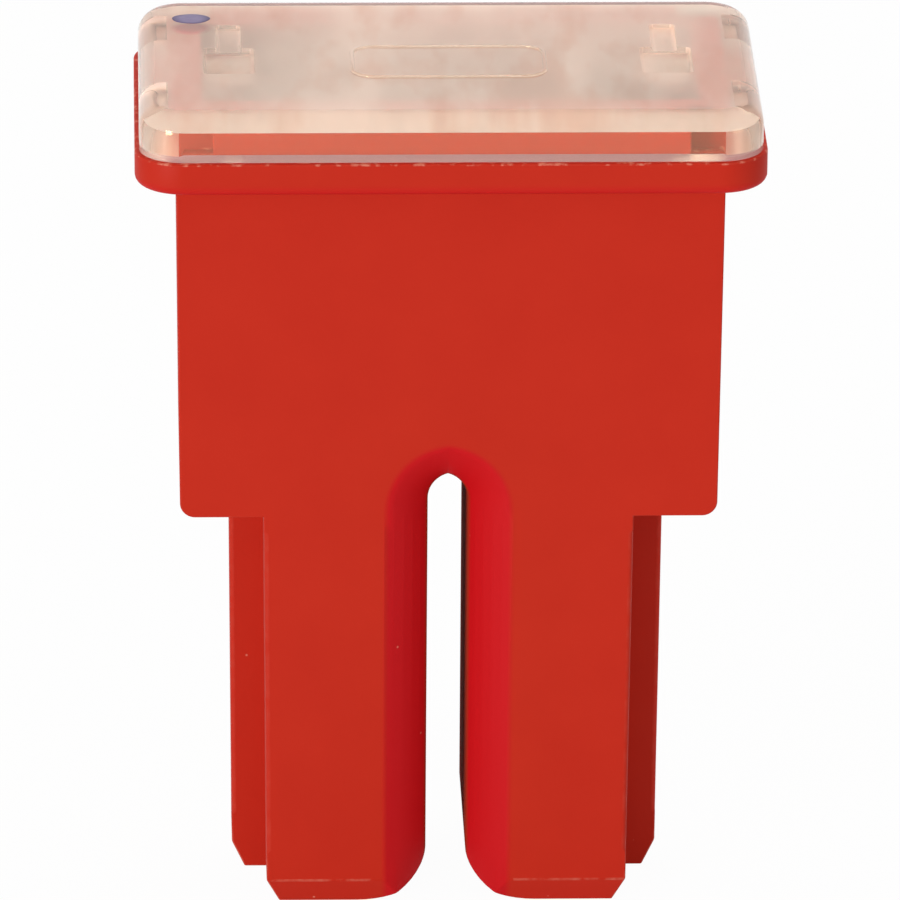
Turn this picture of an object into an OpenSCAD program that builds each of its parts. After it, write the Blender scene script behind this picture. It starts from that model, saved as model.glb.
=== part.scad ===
// Plug-on automotive cartridge fuse with female contacts, standing on its two legs.
// Millimetres, +Z up, +X along the wide side, -Y towards the viewer of the front face.

/* [Flange] */
// Flange width, along X
flange_w = 20.6; // [19.5:0.1:23]
// Flange depth, along Y
flange_d = 12.5; // [11.8:0.1:15]
// Flange thickness
flange_t = 1.1; // [0.8:0.05:1.6]
// Radius of the flange corners seen from above
flange_corner_r = 1.6; // [1.2:0.1:2.2]
// Rounding of the lower flange edge
flange_edge_r = 0.3; // [0.1:0.05:0.5]

/* [Body] */
// Body width at the flange, along X
body_w = 17.9; // [17:0.1:18.6]
// Body depth at the flange, along Y
body_d = 9.5; // [9:0.1:10.5]
// Body height, from the flange to the shoulder over the legs
body_h = 11.75; // [10:0.05:16]
// Mould draft of the outer faces, in degrees
draft = 0.55; // [0:0.05:1]
// Rounding of the body's lower side edges
shoulder_r = 0.5; // [0.2:0.05:0.8]
// Wall thickness of the body
wall = 0.75; // [0.6:0.05:0.9]

/* [Legs] */
// Leg height, from the foot to the shoulder
leg_h = 13.9; // [12:0.1:18]
// Leg width at the shoulder, from the slot to the outer face
leg_w = 5.44; // [5:0.02:6]
// Thickness of the leg walls that face the slot and the outer side
leg_wall = 1.0; // [0.8:0.05:1.1]
// Thickness of the floor at the foot of a leg
foot_floor = 1.0; // [0.8:0.05:1.5]
// How far the guide rib stands out from the leg's outer face
rib_out = 1.12; // [0.8:0.02:1.4]
// Width of the guide rib, along Y
rib_d = 2.2; // [1.6:0.1:4]
// Height of the lead-in chamfers at the foot
foot_chamfer_h = 0.9; // [0.4:0.05:1]
// How far the lead-in chamfers cut into the foot
foot_chamfer_in = 0.42; // [0.3:0.02:0.7]
// Width of the rounded foot corners beside the slot
foot_round_w = 2.3; // [1:0.05:2.4]
// Height of the rounded foot corners beside the slot
foot_round_h = 1.6; // [0.8:0.05:1.8]

/* [Slot between the legs] */
// Width of the slot
slot_w = 1.32; // [1:0.02:1.8]
// How far the crown of the slot rises above the shoulder
slot_rise = 1.05; // [0.9:0.05:2]
// Radius of the two arcs that meet in the pointed crown
crown_r = 0.9; // [0.7:0.05:1.2]
// How far the flare widens the slot on each side at the front and back faces
flare_w = 1.46; // [1:0.02:1.6]
// Depth of the flare into the front and back faces
flare_d = 1.25; // [0.8:0.05:1.4]
// Radius of the flare's rounded surface
flare_r = 4.0; // [2:0.1:6]

/* [Cover] */
// Width of the flange ledge left bare around the cover
ledge = 0.14; // [0.1:0.02:0.4]
// Height of the cover above the flange
cover_h = 1.6; // [1.4:0.05:2]
// Thickness of the cover's skirt
skirt_t = 0.45; // [0.35:0.05:0.55]
// Thickness of the cover's roof
roof_t = 0.7; // [0.5:0.05:0.8]
// Rounding of the cover's upper edge
cover_edge_r = 0.75; // [0.4:0.05:0.9]
// Width of the rim on which the cover's skirt stands
foot_rim = 0.1; // [0.06:0.01:0.2]
// Height of the lead-in inside the cover's foot
lead_h = 0.2; // [0.1:0.05:0.3]
// Length of a corner clip, along Y
clip_l = 2.5; // [1.5:0.1:3]
// Thickness of a corner clip, along X
clip_t = 0.5; // [0.3:0.05:0.6]
// Distance of the clips from the centre line, along Y
clip_y = 3.4; // [2.5:0.1:3.6]
// How far a clip reaches into the flange
clip_reach = 0.6; // [0.3:0.05:0.7]
// Width of a hold-down pad under the roof, along X
pad_w = 1.7; // [1.2:0.1:2]
// Length of a hold-down pad, along Y
pad_l = 2.6; // [2:0.1:3]
// How far a hold-down pad hangs below the roof
pad_h = 1.0; // [0.8:0.05:1.4]
// Thickness of the web behind each pad
pad_web_t = 0.85; // [0.5:0.05:1]
// Distance from the web behind each pad to the wall of the body
web_gap = 0.25; // [0.1:0.05:1.5]
// Width of the raised frame on the roof, along X
frame_w = 6.45; // [5:0.05:8]
// Depth of the raised frame on the roof, along Y
frame_d = 3.2; // [2.5:0.1:5]
// How far the raised frame is set towards the front
frame_y = 0.6; // [0:0.1:0.9]
// Corner radius of the raised frame
frame_r = 0.8; // [0.4:0.1:1.2]
// Line width of the raised frame
frame_line = 0.15; // [0.1:0.01:0.25]
// Height of the raised frame
frame_h = 0.06; // [0.03:0.01:0.12]

/* [Collar under the cover] */
// Thickness of the collar's front and back walls
collar_t = 0.6; // [0.4:0.05:0.7]
// Length of the thicker front and back parts of the collar
collar_front_l = 15.5; // [14:0.1:16]

/* [Fuse element] */
// Thickness of the metal sheet
sheet_t = 0.4; // [0.3:0.05:0.5]
// Width of the flat tab that each contact takes
tab_w = 6.3; // [5:0.1:6.5]
// Thickness of the flat tab that each contact takes
tab_t = 0.8; // [0.6:0.05:1]
// Height of the folded box of each contact
contact_h = 11.0; // [9:0.1:12]
// Width of the strip that rises from each contact, along Y
riser_w = 4.6; // [3:0.1:6]
// Height of the fusible link above the shoulder
link_rise = 8.0; // [6:0.1:10]
// Width of the fusible link, along Y
link_w = 3.0; // [2:0.1:4]
// Width left at each neck of the link
neck_w = 0.9; // [0.6:0.05:1.4]
// Distance of the necks from the middle of the link
neck_x = 2.6; // [2.4:0.1:3.5]
// Width of the ears that rest on the housing, along Y
ear_w = 1.8; // [1.2:0.1:2.4]

/* [Tin pellet] */
// Radius of the tin pellet
pellet_r = 0.75; // [0.5:0.05:1]
// Length of the tin pellet, along X
pellet_l = 2.0; // [1.4:0.1:2.4]
// Length of the claws that clasp the pellet
claw_l = 1.2; // [0.8:0.1:1.3]

/* [Clearances] */
// Gap between the contact box and the leg's cavity
contact_gap = 0.1; // [0.05:0.01:0.2]
// Gap around the clips, between the cover and the collar and over the ears
cover_gap = 0.05; // [0.02:0.01:0.1]
// Room for the tab on each side in the foot's opening
tab_gap = 0.3; // [0.2:0.05:0.4]

/* [Hidden] */
$fn = 48;
// Overlap that makes a cut run clean through a face
over = 1;
// Steps in which a rounded corner of an outline is drawn
corner_steps = 12;

// Levels from the feet upwards
shoulder_z = leg_h;
flange_z = shoulder_z + body_h;
deck_z = flange_z + flange_t;
roof_z = deck_z + cover_h - roof_t;
collar_z = roof_z - cover_gap;
slot_r = slot_w / 2;
crown_shift = crown_r - slot_r;
slot_centre_z = shoulder_z + slot_rise - sqrt(pow(crown_r, 2) - pow(crown_shift, 2));
flare_top_z = slot_centre_z + sqrt(pow(crown_r + flare_w, 2) - pow(crown_shift, 2));

// Half sizes of the drafted outer faces at a height z
function body_half_w(z) = body_w / 2 - (flange_z - z) * tan(draft);
function half_d(z) = body_d / 2 - (flange_z - z) * tan(draft);
function leg_out(z) = slot_r + leg_w - (shoulder_z - z) * tan(draft);
function rib_out_x(z) = leg_out(z) + rib_out;

// Cavities
cavity_half_w = body_half_w(shoulder_z) - wall;
cavity_half_d = half_d(shoulder_z) - wall;
bore_in = slot_r + leg_wall;
bore_out = leg_out(0) - leg_wall;
bore_half_d = half_d(0) - wall;
bore_x = (bore_in + bore_out) / 2;

// Cover
cover_w = flange_w - 2 * ledge;
cover_d = flange_d - 2 * ledge;
cover_corner_r = flange_corner_r - ledge;
inner_corner_r = cover_corner_r - skirt_t;
inner_half_w = cover_w / 2 - skirt_t;
inner_half_d = cover_d / 2 - skirt_t;
pad_x = cavity_half_w - cover_gap - pad_w / 2;
collar_half_w = inner_half_w - clip_t - 2 * cover_gap;

// Fuse element
contact_w = bore_out - bore_in - 2 * contact_gap;
contact_d = 2 * (bore_half_d - contact_gap);
contact_z = foot_floor + contact_gap;
contact_top = contact_z + contact_h;
wall_x = bore_x + contact_w / 2 - sheet_t / 2;
riser_x = pad_x - pad_w / 2 + sheet_t / 2;
ear_top = roof_z - pad_h - cover_gap;
ear_end = cavity_half_w - contact_gap;
pillar_w = cavity_half_w - riser_x - sheet_t / 2 - contact_gap;
ear_z = ear_top - sheet_t / 2;
link_z = shoulder_z + link_rise;
pellet_z = link_z + sheet_t / 2 + pellet_r;

// Points of a round or elliptic arc about a centre, from one angle to another
function arc(centre, half_w, half_h, from, to) = [
    for (i = [0:corner_steps])
        let (angle = from + (to - from) * i / corner_steps)
        centre + [half_w * cos(angle), half_h * sin(angle)]
];

// Unit vector from one point towards the next
function direction(a, b) = (b - a) / norm(b - a);

// Left-hand offset of a bent centre line at point i, mitred at the bends
function mitre(path, i, shift) =
    let (
        last = len(path) - 1,
        before = direction(path[max(i - 1, 0)], path[max(i, 1)]),
        after = direction(path[min(i, last - 1)], path[min(i + 1, last)]),
        bisector = direction([0, 0], before + after)
    )
    path[i] + shift / (bisector * before) * [-bisector[1], bisector[0]];

// Outline of a sheet of thickness t that follows a bent centre line
function sheet(path, t) = concat(
    [for (i = [0:len(path) - 1]) mitre(path, i, t / 2)],
    [for (i = [len(path) - 1:-1:0]) mitre(path, i, -t / 2)]
);

// Extrudes a profile drawn in XZ along Y, centred
module along_y(length) {
    rotate([90, 0, 0]) linear_extrude(length, center = true) children();
}

// Extrudes a profile drawn in YZ along X, centred
module along_x(length) {
    rotate([90, 0, 90]) linear_extrude(length, center = true) children();
}

// A block given by its size in X and Y, centred there, between two heights
module block(w, d, bottom, top) {
    translate([-w / 2, -d / 2, bottom]) cube([w, d, top - bottom]);
}

// The same piece on both sides of the middle plane
module both_sides() {
    children();
    mirror([1, 0, 0]) children();
}

// Rounded rectangle with true arcs at its corners
module round_rect(w, d, r) {
    square([w, d - 2 * r], center = true);
    square([w - 2 * r, d], center = true);
    for (sx = [-1, 1], sy = [-1, 1])
        translate([sx * (w / 2 - r), sy * (d / 2 - r)]) circle(r);
}

// Half section of a slab with a rounded upper edge, $reach wide
module slab_section(h, edge_r) {
    square([$reach, h - edge_r]);
    square([$reach - edge_r, h]);
    translate([$reach - edge_r, h - edge_r]) intersection() {
        circle(edge_r);
        square(edge_r);
    }
}

// Half section of the space that tapers to $reach at the height h, from a foot wider by the amount more
module lead_section(h, more) {
    polygon([[0, -over], [$reach + more, -over], [$reach + more, 0], [$reach, h], [0, h]]);
}

// Carries a half section, which reads $reach, round a rectangle with rounded corners
module carried_round(w, d, corner_r) {
    for (sx = [-1, 1], sy = [-1, 1])
        translate([sx * (w / 2 - corner_r), sy * (d / 2 - corner_r), 0])
            rotate_extrude() children($reach = corner_r);
    along_x(w - 2 * corner_r) for (side = [0, 1])
        mirror([side, 0]) children($reach = d / 2);
    along_y(d - 2 * corner_r) for (side = [0, 1])
        mirror([side, 0]) children($reach = w / 2);
}

// Side outline of body and legs, drawn in YZ: drafted faces, lead-in chamfers at the feet
module side_outline() {
    half = [
        [half_d(flange_z + flange_t / 2), flange_z + flange_t / 2],
        [half_d(foot_chamfer_h), foot_chamfer_h],
        [half_d(0) - foot_chamfer_in, 0]
    ];
    polygon(concat(half, [for (i = [2:-1:0]) [-half[i][0], half[i][1]]]));
}

// Front outline of the body, drawn in XZ, with rounded lower corners
module body_outline() {
    top = flange_z + flange_t / 2;
    corner = [body_half_w(shoulder_z + shoulder_r) - shoulder_r, shoulder_z + shoulder_r];
    right = concat(arc(corner, shoulder_r, shoulder_r, -90, 0), [[body_half_w(top), top]]);
    polygon(concat(right, [for (i = [len(right) - 1:-1:0]) [-right[i][0], right[i][1]]]));
}

// Front outline of the right leg, drawn in XZ, from the slot to its outer face
module leg_outline(outer_top, outer_low, outer_foot) {
    top = shoulder_z + shoulder_r + slot_rise;
    polygon(concat(
        [[slot_r, top], [outer_top, top], [outer_low, foot_chamfer_h], [outer_foot - foot_chamfer_in, 0]],
        arc([slot_r + foot_round_w, foot_round_h], foot_round_w, foot_round_h, 270, 180)
    ));
}

// Right leg: front-to-back block with a guide rib on its outer side
module leg() {
    intersection() {
        union() {
            along_y(body_d + 2 * over) leg_outline(leg_out(shoulder_z), leg_out(foot_chamfer_h), leg_out(0));
            along_y(rib_d) leg_outline(rib_out_x(shoulder_z), rib_out_x(foot_chamfer_h), rib_out_x(0));
        }
        along_x(body_w) side_outline();
    }
}

// Rounded flare that opens the slot towards one face, with its axis along Z at the origin
module flare_section() {
    chord = [flare_w, flare_d];
    half_chord = norm(chord) / 2;
    inward = [flare_d, flare_w] / norm(chord);
    centre = [slot_r + flare_w / 2, flare_d / 2] + inward * sqrt(pow(flare_r, 2) - pow(half_chord, 2));
    difference() {
        translate([0, -over]) square([slot_r + flare_w, centre[1] + over]);
        translate(centre) circle(flare_r);
    }
}

// Flare over one half of the pointed crown, cut off at the middle plane
module crown_flare(side) {
    room = crown_r + flare_w + over;
    intersection() {
        translate([(1 - 2 * side) * crown_shift, 0, 0]) rotate([-90, 180, 0]) rotate([0, 0, 90 * side])
            rotate_extrude(angle = 90) translate([crown_shift, 0]) flare_section();
        translate([(side - 1) * room, -over, 0]) cube([room, body_d / 2 + over, room]);
    }
}

// Slot between the legs, with a pointed crown and a flare at the front and back faces
module slot_cut() {
    below = slot_centre_z + over;
    along_y(body_d + 2 * over) {
        translate([0, slot_centre_z]) intersection_for (side = [-1, 1])
            translate([side * crown_shift, 0]) circle(crown_r);
        translate([-slot_r, -over]) square([slot_w, below]);
    }
    for (turn = [0, 180], side = [0, 1]) rotate([0, 0, turn])
        translate([0, -half_d(slot_centre_z), slot_centre_z]) rotate([draft, 0, 0]) {
            crown_flare(side);
            translate([0, 0, -below]) linear_extrude(below) mirror([side, 0]) flare_section();
        }
}

// Space inside the body, with a web over the slot and a pillar for each ear of the fuse element
module body_cavity() {
    difference() {
        block(2 * cavity_half_w, 2 * cavity_half_d, shoulder_z + wall, collar_z + over);
        block(2 * bore_in, body_d, shoulder_z, flare_top_z + wall);
        both_sides() translate([cavity_half_w - pillar_w / 2, 0, 0])
            block(pillar_w, ear_w + 2 * wall, shoulder_z, ear_top - sheet_t);
    }
}

// Space for one contact and the opening for its tab
module leg_cavity() {
    translate([bore_x, 0, 0]) {
        block(bore_out - bore_in, 2 * bore_half_d, foot_floor, shoulder_z + wall + over);
        block(tab_t + 2 * tab_gap, tab_w + 2 * tab_gap, -over, foot_floor + over);
    }
}

// Red moulded housing
module housing() color("firebrick") difference() {
    union() {
        translate([0, 0, deck_z]) rotate([180, 0, 0])
            carried_round(flange_w, flange_d, flange_corner_r) slab_section(flange_t, flange_edge_r);
        block(2 * collar_half_w, 2 * (cavity_half_d + collar_t), flange_z + flange_t / 2, collar_z);
        block(collar_front_l, 2 * (inner_half_d - cover_gap), flange_z + flange_t / 2, collar_z);
        intersection() {
            along_y(body_d + 2 * over) body_outline();
            along_x(body_w + 2 * over) side_outline();
        }
        both_sides() leg();
    }
    slot_cut();
    body_cavity();
    both_sides() leg_cavity();
    for (sx = [-1, 1], sy = [-1, 1])
        translate([sx * (inner_half_w - clip_t / 2), sy * clip_y, 0])
            block(clip_t + 2 * cover_gap, clip_l + 2 * cover_gap, deck_z - clip_reach - cover_gap, deck_z + over);
}

// Clear moulded cover
module clear_cover() color("mistyrose", 0.5) {
    difference() {
        translate([0, 0, deck_z])
            carried_round(cover_w, cover_d, cover_corner_r) slab_section(cover_h, cover_edge_r);
        translate([0, 0, deck_z - over]) linear_extrude(roof_z - deck_z + over)
            round_rect(2 * inner_half_w, 2 * inner_half_d, inner_corner_r);
        translate([0, 0, deck_z]) carried_round(2 * inner_half_w, 2 * inner_half_d, inner_corner_r)
            lead_section(lead_h, skirt_t - foot_rim);
    }
    for (sx = [-1, 1], sy = [-1, 1])
        translate([sx * (inner_half_w - clip_t / 2), sy * clip_y, 0])
            block(clip_t, clip_l, deck_z - clip_reach, roof_z + roof_t / 2);
    both_sides() translate([pad_x, 0, 0]) {
        block(pad_w, pad_l, roof_z - pad_h, roof_z + roof_t / 2);
        translate([-pad_web_t / 2, 0, roof_z + roof_t / 2 - pad_h])
            cube([pad_web_t, cavity_half_d - web_gap, pad_h]);
    }
    translate([0, -frame_y, roof_z + roof_t / 2]) linear_extrude(roof_t / 2 + frame_h) difference() {
        round_rect(frame_w, frame_d, frame_r);
        round_rect(frame_w - 2 * frame_line, frame_d - 2 * frame_line, frame_r - frame_line);
    }
}

// Contact of the right leg: a folded box, a spring leaf turned up inside it and the strip to the link
module contact() {
    leaf_x = bore_x - contact_w / 2 + sheet_t / 2;
    touch_x = bore_x - tab_t / 2 + sheet_t / 4;
    translate([bore_x, 0, contact_z]) difference() {
        block(contact_w, contact_d, 0, contact_h);
        block(contact_w - 2 * sheet_t, contact_d - 2 * sheet_t, -over, contact_h + over);
    }
    along_y(tab_w - 2 * tab_gap) polygon(sheet([
        [leaf_x, contact_z + sheet_t / 2],
        [leaf_x + sheet_t, contact_z + sheet_t / 2],
        [touch_x, contact_z + contact_h / 3],
        [leaf_x, contact_z + contact_h * 2 / 3]
    ], sheet_t));
    along_y(riser_w) polygon(sheet([
        [wall_x, contact_top - sheet_t],
        [wall_x, shoulder_z + wall + sheet_t],
        [riser_x, shoulder_z + wall + sheet_t + riser_x - wall_x],
        [riser_x, link_z + sheet_t]
    ], sheet_t));
    along_y(ear_w) polygon(sheet([[riser_x, link_z], [riser_x, ear_z], [ear_end, ear_z]], sheet_t));
}

// Stamped and folded metal strip: two contacts, the link between them and the claws for the pellet
module fuse_element() color("silver") {
    both_sides() contact();
    difference() {
        block(2 * riser_x, link_w, link_z - sheet_t / 2, link_z + sheet_t / 2);
        for (sx = [-1, 1], sy = [-1, 1])
            translate([sx * neck_x, sy * (neck_w / 2 + link_w / 2), link_z - over])
                cylinder(r = link_w / 2, h = 2 * over);
    }
    difference() {
        translate([0, 0, pellet_z]) along_x(claw_l) circle(pellet_r + sheet_t);
        translate([0, 0, pellet_z]) along_x(claw_l + 2 * over) circle(pellet_r);
        block(claw_l + 2 * over, pellet_r, pellet_z, pellet_z + 2 * pellet_r + over);
    }
}

// Slug of tin held by the claws
module tin_pellet() color("gainsboro")
    translate([0, 0, pellet_z]) along_x(pellet_l) circle(pellet_r);

housing();
clear_cover();
fuse_element();
tin_pellet();
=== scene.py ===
# Plug-on automotive cartridge fuse: the finish of every piece, a plain studio and the photograph's camera.
import math

import bmesh
import bpy
from mathutils import Matrix, Vector


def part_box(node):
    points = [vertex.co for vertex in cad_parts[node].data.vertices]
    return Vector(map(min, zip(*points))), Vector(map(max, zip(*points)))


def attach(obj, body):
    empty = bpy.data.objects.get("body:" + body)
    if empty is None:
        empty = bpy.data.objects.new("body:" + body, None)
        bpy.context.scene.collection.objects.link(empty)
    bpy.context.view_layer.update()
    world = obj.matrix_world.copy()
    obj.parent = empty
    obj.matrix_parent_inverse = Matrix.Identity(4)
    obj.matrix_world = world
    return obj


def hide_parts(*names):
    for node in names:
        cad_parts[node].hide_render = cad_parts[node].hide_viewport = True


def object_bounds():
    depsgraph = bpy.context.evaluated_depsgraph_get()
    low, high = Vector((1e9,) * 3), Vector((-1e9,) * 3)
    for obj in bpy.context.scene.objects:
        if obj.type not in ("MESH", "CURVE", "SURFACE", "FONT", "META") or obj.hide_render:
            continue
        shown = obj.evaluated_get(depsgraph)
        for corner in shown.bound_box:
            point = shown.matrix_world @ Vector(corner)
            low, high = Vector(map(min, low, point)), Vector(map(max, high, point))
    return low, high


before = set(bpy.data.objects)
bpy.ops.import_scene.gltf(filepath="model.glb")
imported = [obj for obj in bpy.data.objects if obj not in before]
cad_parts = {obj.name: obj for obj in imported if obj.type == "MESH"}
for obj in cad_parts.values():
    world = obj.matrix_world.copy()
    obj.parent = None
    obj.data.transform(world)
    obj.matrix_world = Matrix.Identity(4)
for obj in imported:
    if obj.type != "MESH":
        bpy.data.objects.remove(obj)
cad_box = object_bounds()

# Lengths are in metres, apart from those whose names end in MM
MM = 0.001

# Camera, from a fit of the part's outline to the photograph, with its angles in degrees
PHOTO_SIDE_PX = 900
FOCAL_PX = 11721.9
SENSOR_MM = 36.0
CAMERA_PLACE = Vector((-11.11, -364.33, 152.53)) * MM
CAMERA_YAW = 1.773
CAMERA_PITCH = -20.741
CAMERA_ROLL = 0.408
CAMERA_NEAR = 10 * MM
CAMERA_FAR = 10.0

# Place of the colour among the results of a Mix node
MIXED_COLOUR = 2

# Housing: upper end of the feet's lead-in, shoulder over the legs, lower and upper side of the flange
FOOT_MM = 1.2
SHOULDER_MM = 13.9
FLANGE_HEIGHT = 25.65 * MM
DECK_HEIGHT = 26.75 * MM

# Slot between the legs: the two arcs of its crown, and how far the flares reach from their centres
CROWN_HEIGHT = 14.08 * MM
CROWN_SHIFT = 0.24 * MM
CROWN_RADIUS = 0.9 * MM
FLARE_REACH = 2.36 * MM

# Cover: the raised frame on its roof, the roof itself, the air under its foot and the foot's lead-in
FRAME_HEIGHT = 0.06 * MM
ROOF_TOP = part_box("clear_cover")[1].z - FRAME_HEIGHT
ROOF_THICKNESS = 0.7 * MM
ROOF_UNDERSIDE = ROOF_TOP - ROOF_THICKNESS
COVER_LIFT = 0.012 * MM
LEAD_HEIGHT = 0.2 * MM

# Pads and clips under the roof: how far both reach from the middle, and where the pads lie
PADS_AND_CLIPS = Vector((9.6, 5.0)) * MM
PAD_START_MM = 5
PAD_END_MM = 8.4
PAD_FORWARD_MM = 4
PAD_BELOW_ROOF_MM = 0.1

# Upright outer corners of the legs and their ribs: how far from the middle they lie, and their least length
CORNER_ASIDE_MM = 5
CORNER_FORWARD_MM = 4
RIB_ASIDE_MM = 6.5
UPRIGHT_MM = 3

# Edge rounding, as moulds and dies leave it, and the angles in degrees from which an edge counts as sharp
MERGE_MM = 0.02
FLAT_DEG = 0.3
SHARP_DEG = 22
ROUND_DEG = 33
MOULD_EDGE_MM = 0.05
LEG_EDGE_MM = 0.16
PAD_EDGE_MM = 0.15
COVER_EDGE_MM = 0.03
SHEET_EDGE_MM = 0.03
EDGE_STEPS = 2
BROAD_EDGE_STEPS = 5
FLAT_FACE_WEIGHT = 80

# Places in millimetres where wide faces are parted before the rounding, so that no face runs round a hole
HOUSING_CUTS = {"x": (-9.46, -3.33, 0, 3.33, 9.46), "y": (-3.4, 0, 3.4), "z": (2.0, 13.3)}
COVER_CUTS = {"x": (-9.46, -7.19, 0, 7.19, 9.46), "y": (-3.4, 0, 3.4)}
SHEET_CUTS = {"x": (-3.33, 3.33), "y": (0,)}

# Red moulding: polish of the flares, painted bounce light under the flange, grain of the skin, painted shade
# in the slot, and marks on it, with a painted highlight on the pale edges
POLISH_START = FLARE_REACH + 0.06 * MM
POLISH_FULL = FLARE_REACH - 0.16 * MM
PAINTED_BOUNCE_START = 0.4 * MM
PAINTED_BOUNCE_FULL = 0.05 * MM
SKIN_CLOUD_MM = 2.5
SKIN_GRAIN_MM = 0.12
SKIN_GRAIN_DEPTH = 0.02 * MM
SLOT_SHADE_START = CROWN_RADIUS + 0.1 * MM
SLOT_SHADE_FULL = CROWN_RADIUS + 0.02 * MM
RUB_AND_HIGHLIGHT_MM = 0.5
RUB_AND_HIGHLIGHT_LEAST_REACH = FLARE_REACH + 0.12 * MM
RUB_AND_HIGHLIGHT_FAINT_HEIGHT = 2.0 * MM
RUB_AND_HIGHLIGHT_STRONG_HEIGHT = 0.9 * MM
NICK_MM = 0.3
NICK_DEPTH = 0.055 * MM
SPECK_SPACING_MM = 0.8
SPECK_RADIUS_MM = 0.055
SPECK_RARITY = 0.6

# Clear moulding: flow marks, streaks of haze drawn out from front to back, and painted patches of red light
# in them
FLOW_MM = 3.0
FLOW_DEPTH = 0.03 * MM
HAZE_DRAWN = (1.0, 0.3, 1.0)
HAZE_MM = 2.4
HAZE_MIDDLE_START = 7.0 * MM
HAZE_MIDDLE_FULL = 4.0 * MM
PAINTED_RED_LIGHT_MM = 1.5
CLEAREST = 0.96

# How strongly the clear moulding is grained in different places
GRAINED = 1.0
FROSTED_SIDE = 0.8
FROSTED_CORNER = 0.8
FROSTED_BASE = 1.9
FROSTED_CLIP = 2.6
FROSTED_PAD = 2.8
FROSTED_FOOT = 3.0

# Parts of a face's normal that tell level faces, the slanted lead-in, and faces turned to the middle
LEVEL_NORMAL = -0.9
LEAD_NORMALS = (-0.95, -0.3)
INWARD_NORMAL = -0.15

# Metals: streaks drawn out along the strip, and frost on the pellet
STREAK_DRAWN = (1.0, 1.0, 0.08)
STREAK_MM = 0.15
FROST_MM = 0.3
FROST_DEPTH = 0.02 * MM

# Ink dot on the roof, with shares of its radius and thickness for each ring, and its painted shade and
# reflection
DOT_PLACE = Vector((-8.4, 3.83)) * MM
DOT_RADIUS = 0.63 * MM
DOT_DEPTH_SHARE = 0.76
DOT_THICKNESS = 0.015 * MM
DOT_RINGS = ((1.0, 0.0), (0.97, 0.7), (0.9, 1.0), (0.5, 1.0))
DOT_STEPS = 48
INK_PATCH_MM = 0.25
INK_SHADE_AND_REFLECTION_SHIFT = 0.49 * MM

# Studio: the floor's side, the gap under the feet, how white the paper looks, and the light from all round
FLOOR_SIDE = 3.0
FLOOR_GAP = 0.02 * MM
PAPER_GLOW = 0.97
SKY_LIGHT = 0.46

# Lamps: name, place, power in watts, side of the soft box, and whether polished faces mirror it
LAMPS = (
    ("key_left", (-0.4, -0.5, 0.11), 2.25, 0.2, True),
    ("fill_right", (0.45, -0.4, 0.06), 0.5, 0.3, True),
    ("soft_top", (0.0, 0.2, 0.6), 0.9, 0.2, False),
)


def srgb(colour):
    """Linear colour with alpha from an sRGB hex value."""
    parts = [int(colour[i:i + 2], 16) / 255 for i in (1, 3, 5)]
    return tuple(p / 12.92 if p <= 0.04045 else ((p + 0.055) / 1.055) ** 2.4 for p in parts) + (1.0,)


def add(tree, kind, inputs=None, **settings):
    """Adds a node, sets its properties, and gives its inputs, named by identifier, values or links."""
    node = tree.nodes.new(kind)
    for name, value in settings.items():
        setattr(node, name, value)
    sockets = {socket.identifier: socket for socket in node.inputs}
    for identifier, value in (inputs or {}).items():
        if isinstance(value, bpy.types.NodeSocket):
            tree.links.new(value, sockets[identifier])
        else:
            sockets[identifier].default_value = value
    return node


def new_material(name):
    """An empty node material and its tree."""
    material = bpy.data.materials.new(name)
    material.use_nodes = True
    material.node_tree.nodes.clear()
    return material, material.node_tree


def per_mm(size):
    """Texture scale for a pattern whose features are this many millimetres across."""
    return 1 / (size * MM)


def slot_distance(tree, part):
    """Distance from the slot: from the centres of its crown's arcs, and straight across below them."""
    aside = add(tree, "ShaderNodeMath", {"Value": part.outputs["X"]}, operation="ABSOLUTE")
    across = add(tree, "ShaderNodeMath", {
        "Value": aside.outputs["Value"], "Value_001": CROWN_SHIFT}, operation="ADD")
    over = add(tree, "ShaderNodeMath", {
        "Value": part.outputs["Z"], "Value_001": CROWN_HEIGHT}, operation="SUBTRACT")
    over = add(tree, "ShaderNodeMath", {
        "Value": over.outputs["Value"], "Value_001": 0.0}, operation="MAXIMUM")
    away = add(tree, "ShaderNodeCombineXYZ", {"X": across.outputs["Value"], "Z": over.outputs["Value"]})
    away = add(tree, "ShaderNodeVectorMath", {"Vector": away.outputs["Vector"]}, operation="LENGTH")
    return away.outputs["Value"]


def polish_and_painted_bounce(tree, part, away):
    """How deep and clean the red is: polished on the flares, and a little less in the corner under the
    flange, where the deeper red is painted bounce light.
    """
    flare = add(tree, "ShaderNodeMapRange", {
        "Value": away, "From Min": POLISH_START, "From Max": POLISH_FULL})
    # Painted bounce light: near the flange's lower side the red turns the deeper red of the polished flares
    up = add(tree, "ShaderNodeMath", {
        "Value": part.outputs["Z"], "Value_001": FLANGE_HEIGHT}, operation="SUBTRACT")
    up = add(tree, "ShaderNodeMath", {"Value": up.outputs["Value"]}, operation="ABSOLUTE")
    corner = add(tree, "ShaderNodeMapRange", {
        "Value": up.outputs["Value"], "From Min": PAINTED_BOUNCE_START, "From Max": PAINTED_BOUNCE_FULL,
        "To Max": 0.8})
    # Polish on the flares, and painted bounce light in the corner under the flange
    polished = add(tree, "ShaderNodeMath", {
        "Value": flare.outputs["Result"], "Value_001": corner.outputs["Result"]}, operation="MAXIMUM")
    return polished.outputs["Value"]


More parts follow.
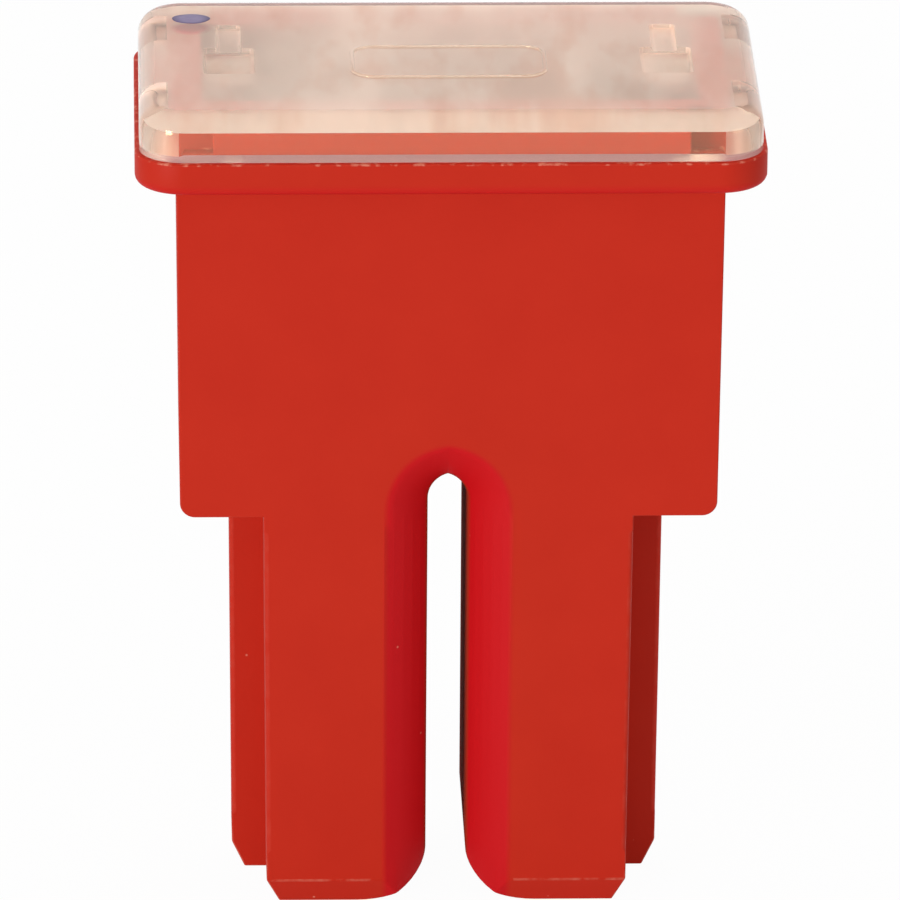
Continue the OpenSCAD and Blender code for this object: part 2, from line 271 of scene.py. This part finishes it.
def pale_marks(tree, place, part, away):
    """How pale the red is: on edges, as wear and a painted highlight, in nicks along the rim of the flange,
    and in specks.
    """
    # Edges, paler most at the feet and not at the flares: wear, with a painted highlight
    edge_face = add(tree, "ShaderNodeAttribute", attribute_name="edge")
    rub_and_highlight_noise = add(tree, "ShaderNodeTexNoise", {"Vector": place, "Scale": per_mm(RUB_AND_HIGHLIGHT_MM), "Detail": 4.0})
    rub_and_highlight = add(tree, "ShaderNodeMapRange", {
        "Value": rub_and_highlight_noise.outputs["Fac"], "From Min": 0.4, "From Max": 0.7, "To Max": 0.24})
    outside = add(tree, "ShaderNodeMath", {
        "Value": away, "Value_001": RUB_AND_HIGHLIGHT_LEAST_REACH}, operation="GREATER_THAN")
    low = add(tree, "ShaderNodeMapRange", {
        "Value": part.outputs["Z"], "From Min": RUB_AND_HIGHLIGHT_FAINT_HEIGHT, "From Max": RUB_AND_HIGHLIGHT_STRONG_HEIGHT,
        "To Min": 0.15, "To Max": 1.3})
    pale = edge_face.outputs["Fac"]
    for share in (rub_and_highlight.outputs["Result"], outside.outputs["Value"], low.outputs["Result"]):
        pale = add(tree, "ShaderNodeMath", {
            "Value": pale, "Value_001": share}, operation="MULTIPLY").outputs["Value"]

    # Nicks, close to the height of the rim
    lip = add(tree, "ShaderNodeMath", {
        "Value": part.outputs["Z"], "Value_001": DECK_HEIGHT, "Value_002": NICK_DEPTH}, operation="COMPARE")
    nick = add(tree, "ShaderNodeTexNoise", {"Vector": place, "Scale": per_mm(NICK_MM), "Detail": 3.0})
    nicked = add(tree, "ShaderNodeMapRange", {
        "Value": nick.outputs["Fac"], "From Min": 0.54, "From Max": 0.66, "To Max": 0.5})
    chipped = add(tree, "ShaderNodeMath", {
        "Value": lip.outputs["Value"], "Value_001": nicked.outputs["Result"]}, operation="MULTIPLY")

    # Specks, one in every few cells
    cell = add(tree, "ShaderNodeTexVoronoi", {"Vector": place, "Scale": per_mm(SPECK_SPACING_MM)})
    spot = add(tree, "ShaderNodeMapRange", {
        "Value": cell.outputs["Distance"], "From Min": SPECK_RADIUS_MM / SPECK_SPACING_MM, "From Max": 0.0,
        "To Max": 0.8})
    chance = add(tree, "ShaderNodeMath", {
        "Value": cell.outputs["Color"], "Value_001": SPECK_RARITY}, operation="GREATER_THAN")
    speck = add(tree, "ShaderNodeMath", {
        "Value": spot.outputs["Result"], "Value_001": chance.outputs["Value"]}, operation="MULTIPLY")

    for mark in (chipped, speck):
        pale = add(tree, "ShaderNodeMath", {
            "Value": pale, "Value_001": mark.outputs["Value"]}, operation="MAXIMUM").outputs["Value"]
    return pale


def red_moulding():
    """PBT, injection moulded and coloured through: a satin skin with fine grain, paler on edges with wear
    from rubbing and a painted highlight, nicked along the rim of the flange, and dusted with a few pale
    specks. The steel that forms the flares was polished, so they are a deeper, cleaner red. The corner under
    the flange has the same deeper red painted on as bounce light, the inside of the slot is painted darker as
    shade, and the blade that forms the slot was left dull."""
    material, tree = new_material("red_moulded_pbt")
    place = add(tree, "ShaderNodeTexCoord").outputs["Object"]
    part = add(tree, "ShaderNodeSeparateXYZ", {"Vector": place})
    away = slot_distance(tree, part)

    # Satin skin, polish, painted bounce light under the flange, pale marks, and painted shade inside the slot
    cloud = add(tree, "ShaderNodeTexNoise", {"Vector": place, "Scale": per_mm(SKIN_CLOUD_MM), "Detail": 3.0})
    satin = add(tree, "ShaderNodeMix", {
        "Factor_Float": cloud.outputs["Fac"], "A_Color": srgb("#c32a15"), "B_Color": srgb("#bc2411")},
        data_type="RGBA")
    colour = add(tree, "ShaderNodeMix", {
        "Factor_Float": polish_and_painted_bounce(tree, part, away), "A_Color": satin.outputs[MIXED_COLOUR],
        "B_Color": srgb("#c60f16")}, data_type="RGBA")
    marked = add(tree, "ShaderNodeMix", {
        "Factor_Float": pale_marks(tree, place, part, away), "A_Color": colour.outputs[MIXED_COLOUR],
        "B_Color": srgb("#eda58c")}, data_type="RGBA")
    # Painted shade: inside the slot the red is painted a darker brown-red
    inside = add(tree, "ShaderNodeMapRange", {
        "Value": away, "From Min": SLOT_SHADE_START, "From Max": SLOT_SHADE_FULL})
    slot_shaded = add(tree, "ShaderNodeMix", {
        "Factor_Float": inside.outputs["Result"], "A_Color": marked.outputs[MIXED_COLOUR],
        "B_Color": srgb("#a02c16")}, data_type="RGBA")

    # Grain of the skin, dull inside the slot
    grain = add(tree, "ShaderNodeTexNoise", {"Vector": place, "Scale": per_mm(SKIN_GRAIN_MM), "Detail": 2.0})
    bump = add(tree, "ShaderNodeBump", {
        "Height": grain.outputs["Fac"], "Strength": 0.12, "Distance": SKIN_GRAIN_DEPTH})
    gloss = add(tree, "ShaderNodeMapRange", {"Value": cloud.outputs["Fac"], "To Min": 0.5, "To Max": 0.58})
    rough = add(tree, "ShaderNodeMath", {
        "Value": gloss.outputs["Result"], "Value_001": inside.outputs["Result"]}, operation="MAXIMUM")
    skin = add(tree, "ShaderNodeBsdfPrincipled", {
        "Base Color": slot_shaded.outputs[MIXED_COLOUR], "Roughness": rough.outputs["Value"], "IOR": 1.55,
        "Specular IOR Level": 0.12, "Normal": bump.outputs["Normal"]})
    add(tree, "ShaderNodeOutputMaterial", {"Surface": skin.outputs["BSDF"]})
    return material


def grain_haze(tree, place, drawn, grained):
    """Share of light that the grained faces scatter: in soft streaks, and most in the middle of the roof."""
    cloud = add(tree, "ShaderNodeTexNoise", {"Vector": drawn, "Scale": per_mm(HAZE_MM), "Detail": 2.0})
    streaks = add(tree, "ShaderNodeMapRange", {
        "Value": cloud.outputs["Fac"], "From Min": 0.32, "From Max": 0.68, "To Min": 0.1, "To Max": 0.46})
    part = add(tree, "ShaderNodeSeparateXYZ", {"Vector": place})
    aside = add(tree, "ShaderNodeMath", {"Value": part.outputs["X"]}, operation="ABSOLUTE")
    middle = add(tree, "ShaderNodeMapRange", {
        "Value": aside.outputs["Value"], "From Min": HAZE_MIDDLE_START, "From Max": HAZE_MIDDLE_FULL,
        "To Max": 0.2})
    haze = add(tree, "ShaderNodeMath", {
        "Value": streaks.outputs["Result"], "Value_001": middle.outputs["Result"]}, operation="ADD")
    haze = add(tree, "ShaderNodeMath", {
        "Value": grained, "Value_001": haze.outputs["Value"]}, operation="MULTIPLY")
    return haze.outputs["Value"]


def dot_distance(tree, place, forward):
    """Level distance from a point that lies this far forward of the ink dot's middle."""
    centred = add(tree, "ShaderNodeMapping", {
        "Vector": place, "Location": (-DOT_PLACE.x, forward - DOT_PLACE.y, 0.0), "Scale": (1.0, 1.0, 0.0)})
    out = add(tree, "ShaderNodeVectorMath", {"Vector": centred.outputs["Vector"]}, operation="LENGTH")
    return out.outputs["Value"]


def cover_colour(tree, place, drawn, grained):
    """Colour of the clear moulding: straw where it is clear, and nearly white where it is grained, with
    patches of the housing's red painted in as light seen through the haze. A pink shade and reflection of the
    ink is painted on the grain, and the frosted foot's lead-in is painted lavender, as glare over the
    flange's red."""
    # Painted light: patches of the housing's red in the haze, as if seen through it
    patch = add(tree, "ShaderNodeTexNoise", {"Vector": drawn, "Scale": per_mm(PAINTED_RED_LIGHT_MM), "Detail": 3.0})
    through = add(tree, "ShaderNodeMapRange", {
        "Value": patch.outputs["Fac"], "From Min": 0.48, "From Max": 0.66, "To Max": 0.8})
    haze_and_painted_red = add(tree, "ShaderNodeMix", {
        "Factor_Float": through.outputs["Result"], "A_Color": srgb("#fff2f2"), "B_Color": srgb("#f0cac0")},
        data_type="RGBA")
    colour = add(tree, "ShaderNodeMix", {
        "Factor_Float": grained, "A_Color": srgb("#f4e6d6"), "B_Color": haze_and_painted_red.outputs[MIXED_COLOUR]},
        data_type="RGBA")

    # Painted shade and reflection: a pink spot of the ink dot on the grained underside, a little in front of
    # it
    shade = add(tree, "ShaderNodeMapRange", {
        "Value": dot_distance(tree, place, INK_SHADE_AND_REFLECTION_SHIFT), "From Min": 1.15 * DOT_RADIUS,
        "From Max": 0.7 * DOT_RADIUS, "To Max": 0.9})
    shade = add(tree, "ShaderNodeMath", {
        "Value": grained, "Value_001": shade.outputs["Result"]}, operation="MULTIPLY")
    colour = add(tree, "ShaderNodeMix", {
        "Factor_Float": shade.outputs["Value"], "A_Color": colour.outputs[MIXED_COLOUR],
        "B_Color": srgb("#ee5c7a")}, data_type="RGBA")

    # Painted glare: the frosted lead-in of the foot is painted lavender, with the flange's red in it
    frost = add(tree, "ShaderNodeMapRange", {
        "Value": grained, "From Min": FROSTED_PAD, "From Max": FROSTED_FOOT})
    colour = add(tree, "ShaderNodeMix", {
        "Factor_Float": frost.outputs["Result"], "A_Color": colour.outputs[MIXED_COLOUR],
        "B_Color": srgb("#b692a2")}, data_type="RGBA")
    return colour.outputs[MIXED_COLOUR]


def clear_moulding():
    """Polysulphone, moulded: straw-tinted where the eye looks along it, with strong glare at a low angle. The
    underside of the roof is grained, so a cloudy haze spreads what lies below into one soft tone. Patches of
    the housing's red and a pink shade and reflection of the ink on the roof are painted into that haze."""
    material, tree = new_material("clear_moulded_polysulphone")
    place = add(tree, "ShaderNodeTexCoord").outputs["Object"]
    drawn = add(tree, "ShaderNodeMapping", {"Vector": place, "Scale": HAZE_DRAWN}).outputs["Vector"]
    grained = add(tree, "ShaderNodeAttribute", attribute_name="grain").outputs["Fac"]
    flow = add(tree, "ShaderNodeTexNoise", {"Vector": place, "Scale": per_mm(FLOW_MM), "Detail": 1.0})
    bump = add(tree, "ShaderNodeBump", {
        "Height": flow.outputs["Fac"], "Strength": 0.1, "Distance": FLOW_DEPTH})
    gloss = add(tree, "ShaderNodeMapRange", {"Value": grained, "To Min": 0.05, "To Max": 0.55})
    clear = add(tree, "ShaderNodeMath", {
        "Value": CLEAREST, "Value_001": grain_haze(tree, place, drawn, grained)},
        operation="SUBTRACT", use_clamp=True)
    plastic = add(tree, "ShaderNodeBsdfPrincipled", {
        "Base Color": cover_colour(tree, place, drawn, grained), "Roughness": gloss.outputs["Result"],
        "IOR": 1.63, "Transmission Weight": clear.outputs["Value"], "Specular Tint": srgb("#ffe6b8"),
        "Normal": bump.outputs["Normal"]})

    # Lamps shine straight through, tinted, and long ways through the plastic turn to straw
    open_to_lamps = add(tree, "ShaderNodeBsdfTransparent", {"Color": srgb("#f8ecdc")})
    path = add(tree, "ShaderNodeLightPath")
    shader = add(tree, "ShaderNodeMixShader", {
        "Fac": path.outputs["Is Shadow Ray"], "Shader": plastic.outputs["BSDF"],
        "Shader_001": open_to_lamps.outputs["BSDF"]})
    straw = add(tree, "ShaderNodeVolumeAbsorption", {"Color": srgb("#ddc899"), "Density": 50.0})
    add(tree, "ShaderNodeOutputMaterial", {
        "Surface": shader.outputs["Shader"], "Volume": straw.outputs["Volume"]})
    return material


def tinned_sheet():
    """Copper strip, tin-plated and rolled: grey-white metal with a soft sheen and fine rolling streaks."""
    material, tree = new_material("tin_plated_copper")
    place = add(tree, "ShaderNodeTexCoord").outputs["Object"]
    drawn = add(tree, "ShaderNodeMapping", {"Vector": place, "Scale": STREAK_DRAWN})
    streak = add(tree, "ShaderNodeTexNoise", {
        "Vector": drawn.outputs["Vector"], "Scale": per_mm(STREAK_MM), "Detail": 3.0})
    gloss = add(tree, "ShaderNodeMapRange", {"Value": streak.outputs["Fac"], "To Min": 0.24, "To Max": 0.42})
    colour = add(tree, "ShaderNodeMix", {
        "Factor_Float": streak.outputs["Fac"], "A_Color": srgb("#cfccc4"), "B_Color": srgb("#bdb9b0")},
        data_type="RGBA")
    metal = add(tree, "ShaderNodeBsdfPrincipled", {
        "Base Color": colour.outputs[MIXED_COLOUR], "Metallic": 1.0, "Roughness": gloss.outputs["Result"]})
    add(tree, "ShaderNodeOutputMaterial", {"Surface": metal.outputs["BSDF"]})
    return material


def dull_tin():
    """Tin, cut from wire and crimped: dull grey with an uneven, slightly frosted skin."""
    material, tree = new_material("dull_tin")
    place = add(tree, "ShaderNodeTexCoord").outputs["Object"]
    frost = add(tree, "ShaderNodeTexNoise", {"Vector": place, "Scale": per_mm(FROST_MM), "Detail": 4.0})
    gloss = add(tree, "ShaderNodeMapRange", {"Value": frost.outputs["Fac"], "To Min": 0.35, "To Max": 0.6})
    bump = add(tree, "ShaderNodeBump", {
        "Height": frost.outputs["Fac"], "Strength": 0.2, "Distance": FROST_DEPTH})
    metal = add(tree, "ShaderNodeBsdfPrincipled", {
        "Base Color": srgb("#b4b4b2"), "Metallic": 1.0, "Roughness": gloss.outputs["Result"],
        "Normal": bump.outputs["Normal"]})
    add(tree, "ShaderNodeOutputMaterial", {"Surface": metal.outputs["BSDF"]})
    return material


def marking_ink():
    """Violet-blue marking ink, stamped: a thin satin film, denser where it dried at the rim."""
    material, tree = new_material("violet_marking_ink")
    place = add(tree, "ShaderNodeTexCoord").outputs["Object"]
    rim = add(tree, "ShaderNodeMapRange", {
        "Value": dot_distance(tree, place, 0.0), "From Min": 0.55 * DOT_RADIUS,
        "From Max": 0.95 * DOT_RADIUS})
    patch = add(tree, "ShaderNodeTexNoise", {"Vector": place, "Scale": per_mm(INK_PATCH_MM), "Detail": 3.0})
    middle = add(tree, "ShaderNodeMix", {
        "Factor_Float": patch.outputs["Fac"], "A_Color": srgb("#7a6896"), "B_Color": srgb("#9486a8")},
        data_type="RGBA")
    colour = add(tree, "ShaderNodeMix", {
        "Factor_Float": rim.outputs["Result"], "A_Color": middle.outputs[MIXED_COLOUR],
        "B_Color": srgb("#544470")}, data_type="RGBA")
    film = add(tree, "ShaderNodeBsdfPrincipled", {
        "Base Color": colour.outputs[MIXED_COLOUR], "Roughness": 0.45})
    add(tree, "ShaderNodeOutputMaterial", {"Surface": film.outputs["BSDF"]})
    return material


def finished(name, mesh, material):
    """A piece from a bmesh in metres: smooth, with its place in the mesh and its finish set."""
    data = bpy.data.meshes.new(name)
    mesh.to_mesh(data)
    mesh.free()
    data.shade_smooth()
    data.materials.append(material)
    piece = bpy.data.objects.new(name, data)
    bpy.context.scene.collection.objects.link(piece)
    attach(piece, "root")
    return piece


def part_faces(mesh, cuts):
    """Parts the faces of a mesh in millimetres at the given places, along seams that a dissolve keeps."""
    for axis, places in cuts.items():
        direction = Vector([float(axis == name) for name in "xyz"])
        for place in places:
            everything = mesh.verts[:] + mesh.edges[:] + mesh.faces[:]
            cut = bmesh.ops.bisect_plane(mesh, geom=everything, dist=MERGE_MM, plane_co=direction * place,
                                         plane_no=direction)
            for item in cut["geom_cut"]:
                if isinstance(item, bmesh.types.BMEdge):
                    item.seam = True


def bevel(mesh, edges, width, steps):
    """Rounds the edges and marks the new faces with the attribute edge."""
    edge_face = mesh.faces.layers.float.get("edge") or mesh.faces.layers.float.new("edge")
    made = bmesh.ops.bevel(mesh, geom=edges, offset=width, offset_type="OFFSET", segments=steps, profile=0.5,
                           affect="EDGES", clamp_overlap=False, miter_outer="ARC")
    for face in made["faces"]:
        face[edge_face] = 1.0


def sharp_edges(mesh):
    """The outer edges of a mesh in millimetres that are sharp enough to be rounded. At the feet, blunter ones
    count too."""
    sharp = []
    for edge in mesh.edges:
        foot = max(v.co.z for v in edge.verts) < FOOT_MM
        least = SHARP_DEG if foot else ROUND_DEG
        if edge.is_manifold and edge.is_convex and edge.calc_face_angle(0) > math.radians(least):
            sharp.append(edge)
    return sharp


def outer_corner(edge):
    """Tells the upright outer corners of the legs and their ribs, on a mesh in millimetres."""
    start, end = (v.co for v in edge.verts)
    middle = (start + end) / 2
    corner = abs(middle.x) > CORNER_ASIDE_MM and abs(middle.y) > CORNER_FORWARD_MM
    rib = abs(middle.x) > RIB_ASIDE_MM
    return abs(start.z - end.z) > UPRIGHT_MM and middle.z < SHOULDER_MM and (corner or rib)


def pad_edge(edge):
    """Tells the edges of the two pads under the cover's roof, on a mesh in millimetres."""
    middle = (edge.verts[0].co + edge.verts[1].co) / 2
    at_pad = PAD_START_MM < abs(middle.x) < PAD_END_MM and abs(middle.y) < PAD_FORWARD_MM
    return at_pad and middle.z < ROOF_UNDERSIDE / MM - PAD_BELOW_ROOF_MM


def rounded(node, name, material, cuts, edge_mm, broad=None, broad_mm=0.0, adjust=None):
    """Puts a merged copy of a CAD node in its place, with its sharp outer edges rounded, and those that broad
    picks more than the rest."""
    mesh = bmesh.new()
    mesh.from_mesh(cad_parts[node].data)
    bmesh.ops.scale(mesh, vec=(1 / MM,) * 3, verts=mesh.verts)
    bmesh.ops.remove_doubles(mesh, verts=mesh.verts, dist=MERGE_MM)
    part_faces(mesh, cuts)
    bmesh.ops.dissolve_limit(mesh, angle_limit=math.radians(FLAT_DEG), verts=mesh.verts, edges=mesh.edges,
                             delimit={"SEAM"})
    if broad:
        bevel(mesh, [e for e in sharp_edges(mesh) if broad(e)], broad_mm, BROAD_EDGE_STEPS)
    bevel(mesh, sharp_edges(mesh), edge_mm, EDGE_STEPS)
    mesh.normal_update()
    for edge in mesh.edges:
        inner = edge.is_manifold and not edge.is_convex
        edge.smooth = not (inner and edge.calc_face_angle(0) > math.radians(SHARP_DEG))
    bmesh.ops.scale(mesh, vec=(MM,) * 3, verts=mesh.verts)
    if adjust:
        adjust(mesh)
    piece = finished(name, mesh, material)
    weigh = piece.modifiers.new("flat_faces_stay_flat", "WEIGHTED_NORMAL")
    weigh.weight = FLAT_FACE_WEIGHT
    weigh.keep_sharp = True
    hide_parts(node)


def face_grain(face, edge_layer):
    """How strongly a face of the cover is grained: plainly under the roof, a little less on the pads' sides
    and in the skirt's inner corners, more on the rest of the pads and on the clips, most at the foot's
    lead-in, and not at all elsewhere."""
    centre = face.calc_center_median()
    below = centre.z < ROOF_UNDERSIDE
    level = face.normal.z < LEVEL_NORMAL
    roof = level and abs(centre.z - ROOF_UNDERSIDE) < MERGE_MM * MM
    within = below and abs(centre.x) < PADS_AND_CLIPS.x and abs(centre.y) < PADS_AND_CLIPS.y
    slanted = LEAD_NORMALS[0] < face.normal.z < LEAD_NORMALS[1]
    lead_in = slanted and 0 < centre.z - DECK_HEIGHT < LEAD_HEIGHT
    outward = max(face.normal.x * math.copysign(1, centre.x), face.normal.y * math.copysign(1, centre.y))
    if lead_in and not within:
        return FROSTED_FOOT
    if below and outward < INWARD_NORMAL:
        return FROSTED_CORNER
    if roof:
        return GRAINED
    if not within:
        return 0.0
    if abs(centre.x) > PAD_END_MM * MM:
        return FROSTED_CLIP
    if face[edge_layer]:
        return FROSTED_PAD
    return FROSTED_BASE if level else FROSTED_SIDE


def cover_details(mesh):
    """Lifts the foot of the cover's skirt off the flange by a film of air, and marks each face's grain."""
    for vert in mesh.verts:
        if abs(vert.co.z - DECK_HEIGHT) < COVER_LIFT:
            vert.co.z += COVER_LIFT
    grain = mesh.faces.layers.float.new("grain")
    edge_layer = mesh.faces.layers.float["edge"]
    mesh.normal_update()
    for face in mesh.faces:
        face[grain] = face_grain(face, edge_layer)


def ink_dot(material):
    """A thin, slightly domed spot with an uneven outline, on the roof of the cover."""
    mesh = bmesh.new()
    loops = []
    for share, height in DOT_RINGS:
        loop = []
        for i in range(DOT_STEPS):
            turn = 2 * math.pi * i / DOT_STEPS
            uneven = 1 + 0.02 * math.sin(3 * turn) + 0.015 * math.sin(5 * turn + 1)
            reach = DOT_RADIUS * share * uneven
            depth = reach * DOT_DEPTH_SHARE
            loop.append(mesh.verts.new((
                DOT_PLACE.x + reach * math.cos(turn), DOT_PLACE.y + depth * math.sin(turn),
                ROOF_TOP + DOT_THICKNESS * height)))
        loops.append(loop)
    for lower, upper in zip(loops, loops[1:]):
        for i in range(DOT_STEPS):
            j = (i + 1) % DOT_STEPS
            mesh.faces.new((lower[i], lower[j], upper[j], upper[i]))
    mesh.faces.new(loops[-1])
    mesh.faces.new(reversed(loops[0]))
    finished("ink_dot", mesh, material)


def seen_plainly(tree):
    """1 on what the camera sees straight, in a reflection or through clear plastic, and 0 elsewhere."""
    path = add(tree, "ShaderNodeLightPath")
    seen = path.outputs["Is Camera Ray"]
    for ray in ("Is Glossy Ray", "Is Transmission Ray"):
        seen = add(tree, "ShaderNodeMath", {
            "Value": seen, "Value_001": path.outputs[ray]}, operation="MAXIMUM").outputs["Value"]
    return seen


def white_paper():
    """White paper, uncoated: dull, and nearly plain white to the camera, mirrors and clear plastic, so that
    only a faint shadow shows on it. From below it can be seen through."""
    material, tree = new_material("white_paper")
    paper = add(tree, "ShaderNodeBsdfDiffuse", {"Color": srgb("#f4f4f4")})
    glow = add(tree, "ShaderNodeEmission", {"Strength": 1.0})
    share = add(tree, "ShaderNodeMath", {
        "Value": seen_plainly(tree), "Value_001": PAPER_GLOW}, operation="MULTIPLY")
    top = add(tree, "ShaderNodeMixShader", {
        "Fac": share.outputs["Value"], "Shader": paper.outputs["BSDF"],
        "Shader_001": glow.outputs["Emission"]})
    side = add(tree, "ShaderNodeNewGeometry")
    nothing = add(tree, "ShaderNodeBsdfTransparent")
    sheet = add(tree, "ShaderNodeMixShader", {
        "Fac": side.outputs["Backfacing"], "Shader": top.outputs["Shader"],
        "Shader_001": nothing.outputs["BSDF"]})
    add(tree, "ShaderNodeOutputMaterial", {"Surface": sheet.outputs["Shader"]})
    return material


def studio_floor(material):
    """A wide floor that lies a hair under the feet."""
    mesh = bmesh.new()
    bmesh.ops.create_grid(mesh, x_segments=1, y_segments=1, size=FLOOR_SIDE / 2)
    data = bpy.data.meshes.new("studio_floor")
    mesh.to_mesh(data)
    mesh.free()
    data.materials.append(material)
    floor = bpy.data.objects.new("studio_floor", data)
    floor.location.z = -FLOOR_GAP
    bpy.context.scene.collection.objects.link(floor)


def studio_world():
    """Soft light from all round, seen as white by the camera, mirrors and clear plastic."""
    world = bpy.data.worlds.new("studio_world")
    world.use_nodes = True
    tree = world.node_tree
    tree.nodes.clear()
    strength = add(tree, "ShaderNodeMapRange", {
        "Value": seen_plainly(tree), "To Min": SKY_LIGHT, "To Max": 1.0})
    sky = add(tree, "ShaderNodeBackground", {
        "Color": srgb("#ffffff"), "Strength": strength.outputs["Result"]})
    add(tree, "ShaderNodeOutputWorld", {"Surface": sky.outputs["Background"]})
    bpy.context.scene.world = world


def lamp(name, place, power, side, mirrored):
    """A square soft box aimed at the middle of the part, which polished faces mirror or not."""
    light = bpy.data.lights.new(name, "AREA")
    light.energy = power
    light.size = side
    holder = bpy.data.objects.new(name, light)
    holder.location = place
    aim = (cad_box[0] + cad_box[1]) / 2 - holder.location
    holder.rotation_euler = aim.to_track_quat("-Z", "Y").to_euler()
    holder.visible_glossy = mirrored
    bpy.context.scene.collection.objects.link(holder)


def photograph_camera():
    """The camera at the photograph's place, turned by its yaw, pitch and roll."""
    yaw, pitch, roll = (math.radians(a) for a in (CAMERA_YAW, CAMERA_PITCH, CAMERA_ROLL))
    forward = Vector((math.sin(yaw) * math.cos(pitch), math.cos(yaw) * math.cos(pitch), math.sin(pitch)))
    level = Vector((math.cos(yaw), -math.sin(yaw), 0))
    upright = level.cross(forward)
    right = level * math.cos(roll) + upright * math.sin(roll)
    up = upright * math.cos(roll) - level * math.sin(roll)
    lens = bpy.data.cameras.new("camera")
    lens.sensor_width = SENSOR_MM
    lens.lens = FOCAL_PX / PHOTO_SIDE_PX * SENSOR_MM
    lens.clip_start = CAMERA_NEAR
    lens.clip_end = CAMERA_FAR
    camera = bpy.data.objects.new("camera", lens)
    turned = Matrix((right, up, -forward)).transposed().to_4x4()
    camera.matrix_world = Matrix.Translation(CAMERA_PLACE) @ turned
    bpy.context.scene.collection.objects.link(camera)
    bpy.context.scene.camera = camera


# Pieces
rounded("housing", "red_housing", red_moulding(), HOUSING_CUTS, MOULD_EDGE_MM,
        outer_corner, LEG_EDGE_MM)
rounded("clear_cover", "clip_on_cover", clear_moulding(), COVER_CUTS, COVER_EDGE_MM,
        pad_edge, PAD_EDGE_MM, cover_details)
rounded("fuse_element", "contact_strip", tinned_sheet(), SHEET_CUTS, SHEET_EDGE_MM)
rounded("tin_pellet", "tin_slug", dull_tin(), {}, SHEET_EDGE_MM)
ink_dot(marking_ink())

# Studio and camera
studio_floor(white_paper())
studio_world()
for lamp_values in LAMPS:
    lamp(*lamp_values)
photograph_camera()
bpy.context.scene.view_settings.view_transform = "Standard"

# Light crosses the clear roof from back to front by many inner reflections
bpy.context.scene.cycles.max_bounces = 24
bpy.context.scene.cycles.glossy_bounces = 16
bpy.context.scene.cycles.transmission_bounces = 24
